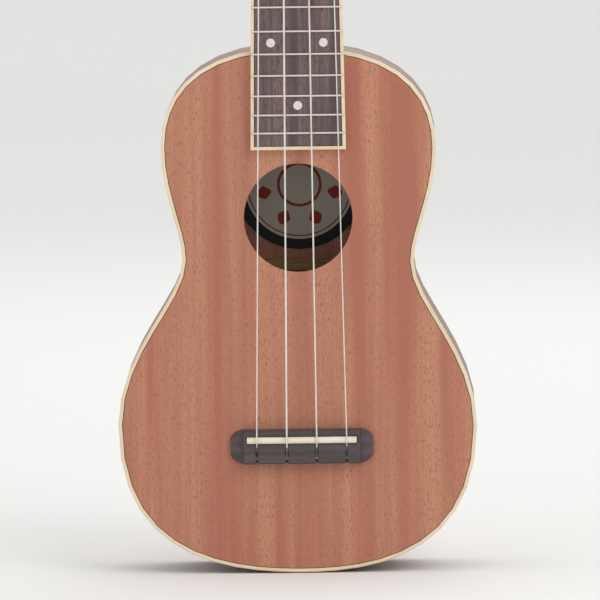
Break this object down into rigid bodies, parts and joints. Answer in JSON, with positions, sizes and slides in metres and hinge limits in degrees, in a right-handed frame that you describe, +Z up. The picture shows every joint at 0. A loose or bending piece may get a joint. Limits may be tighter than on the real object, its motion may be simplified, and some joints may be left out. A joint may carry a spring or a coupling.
{
  "type": "soprano ukulele",
  "caption": "Soprano ukulele with a bound figure-eight body, round soundhole, slotted bridge, extended fretboard and open geared tuning machines.",
  "frame": {"origin": "on the back of the neck under the nut, where a wall hanger's yoke holds it", "axes": "+Z up along the strings to the headstock, +Y out of the back (front faces -Y), +X right seen from the front"},
  "size_m": [0.1637, 0.0723, 0.5126],
  "materials": {
    "mahogany": "satin open-pore mahogany",
    "neck_wood": "satin mahogany",
    "rosewood": "oiled rosewood",
    "spruce": "bare spruce",
    "binding": "cream binding",
    "bone": "polished bone",
    "nickel": "nickel silver",
    "steel": "plated",
    "brass": "cut gear",
    "nylon": "clear nylon",
    "button": "ivory-coloured",
    "paper": null
  },
  "bodies": {
    "root": {"soundboard": "mahogany", "back_plate": "mahogany", "side_bass": "mahogany", "side_treble": "mahogany", "binding_top": "binding", "binding_back": "binding", "neck_block": "neck_wood", "tail_block": "neck_wood", "brace_top_upper": "spruce", "brace_top_lower": "spruce", "brace_back_upper": "spruce", "brace_back_lower": "spruce", "bridge_patch": "spruce", "label": "paper", "neck": "neck_wood", "fretboard": "rosewood", "fretboard_binding": "binding", "nut": "bone", "bridge": "rosewood", "saddle": "bone", "fret_01": "nickel", "fret_02": "nickel", "fret_03": "nickel", "fret_04": "nickel", "fret_05": "nickel", "fret_06": "nickel", "fret_07": "nickel", "fret_08": "nickel", "fret_09": "nickel", "fret_10": "nickel", "fret_11": "nickel", "fret_12": "nickel", "fret_13": "nickel", "fret_14": "nickel", "fret_15": "nickel", "fret_16": "nickel", "string_g": "nylon", "tuner_plate_g": "steel", "string_c": "nylon", "tuner_plate_c": "steel", "string_e": "nylon", "tuner_plate_e": "steel", "string_a": "nylon", "tuner_plate_a": "steel"},
    "worm_g": {"tuner_worm_g": "steel", "tuner_button_g": "button"},
    "post_g": {"tuner_post_g": "steel", "tuner_gear_g": "brass"},
    "worm_c": {"tuner_worm_c": "steel", "tuner_button_c": "button"},
    "post_c": {"tuner_post_c": "steel", "tuner_gear_c": "brass"},
    "worm_e": {"tuner_worm_e": "steel", "tuner_button_e": "button"},
    "post_e": {"tuner_post_e": "steel", "tuner_gear_e": "brass"},
    "worm_a": {"tuner_worm_a": "steel", "tuner_button_a": "button"},
    "post_a": {"tuner_post_a": "steel", "tuner_gear_a": "brass"}
  },
  "joints": [
    {"name": "tuner_g_turn", "type": "hinge", "parent": "root", "child": "worm_g", "pos_m": [-0.018, 0.00775, 0.02901], "axis": [-1, 0, 0], "continuous": true},
    {"name": "post_g_turn", "type": "hinge", "parent": "root", "child": "post_g", "pos_m": [-0.018, 0.00483, 0.03597], "axis": [0, 0.9781, -0.2079], "continuous": true},
    {"name": "tuner_c_turn", "type": "hinge", "parent": "root", "child": "worm_c", "pos_m": [-0.018, 0.01523, 0.06423], "axis": [-1, 0, 0], "continuous": true},
    {"name": "post_c_turn", "type": "hinge", "parent": "root", "child": "post_c", "pos_m": [-0.018, 0.01231, 0.07118], "axis": [0, 0.9781, -0.2079], "continuous": true},
    {"name": "tuner_e_turn", "type": "hinge", "parent": "root", "child": "worm_e", "pos_m": [0.018, 0.01523, 0.06423], "axis": [1, 0, 0], "continuous": true},
    {"name": "post_e_turn", "type": "hinge", "parent": "root", "child": "post_e", "pos_m": [0.018, 0.01231, 0.07118], "axis": [0, 0.9781, -0.2079], "continuous": true},
    {"name": "tuner_a_turn", "type": "hinge", "parent": "root", "child": "worm_a", "pos_m": [0.018, 0.00775, 0.02901], "axis": [1, 0, 0], "continuous": true},
    {"name": "post_a_turn", "type": "hinge", "parent": "root", "child": "post_a", "pos_m": [0.018, 0.00483, 0.03597], "axis": [0, 0.9781, -0.2079], "continuous": true}
  ],
  "couplings": [
    {"joint": "post_g_turn", "follows": "tuner_g_turn", "ratio": 0.071429},
    {"joint": "post_c_turn", "follows": "tuner_c_turn", "ratio": 0.071429},
    {"joint": "post_e_turn", "follows": "tuner_e_turn", "ratio": 0.071429},
    {"joint": "post_a_turn", "follows": "tuner_a_turn", "ratio": 0.071429}
  ]
}
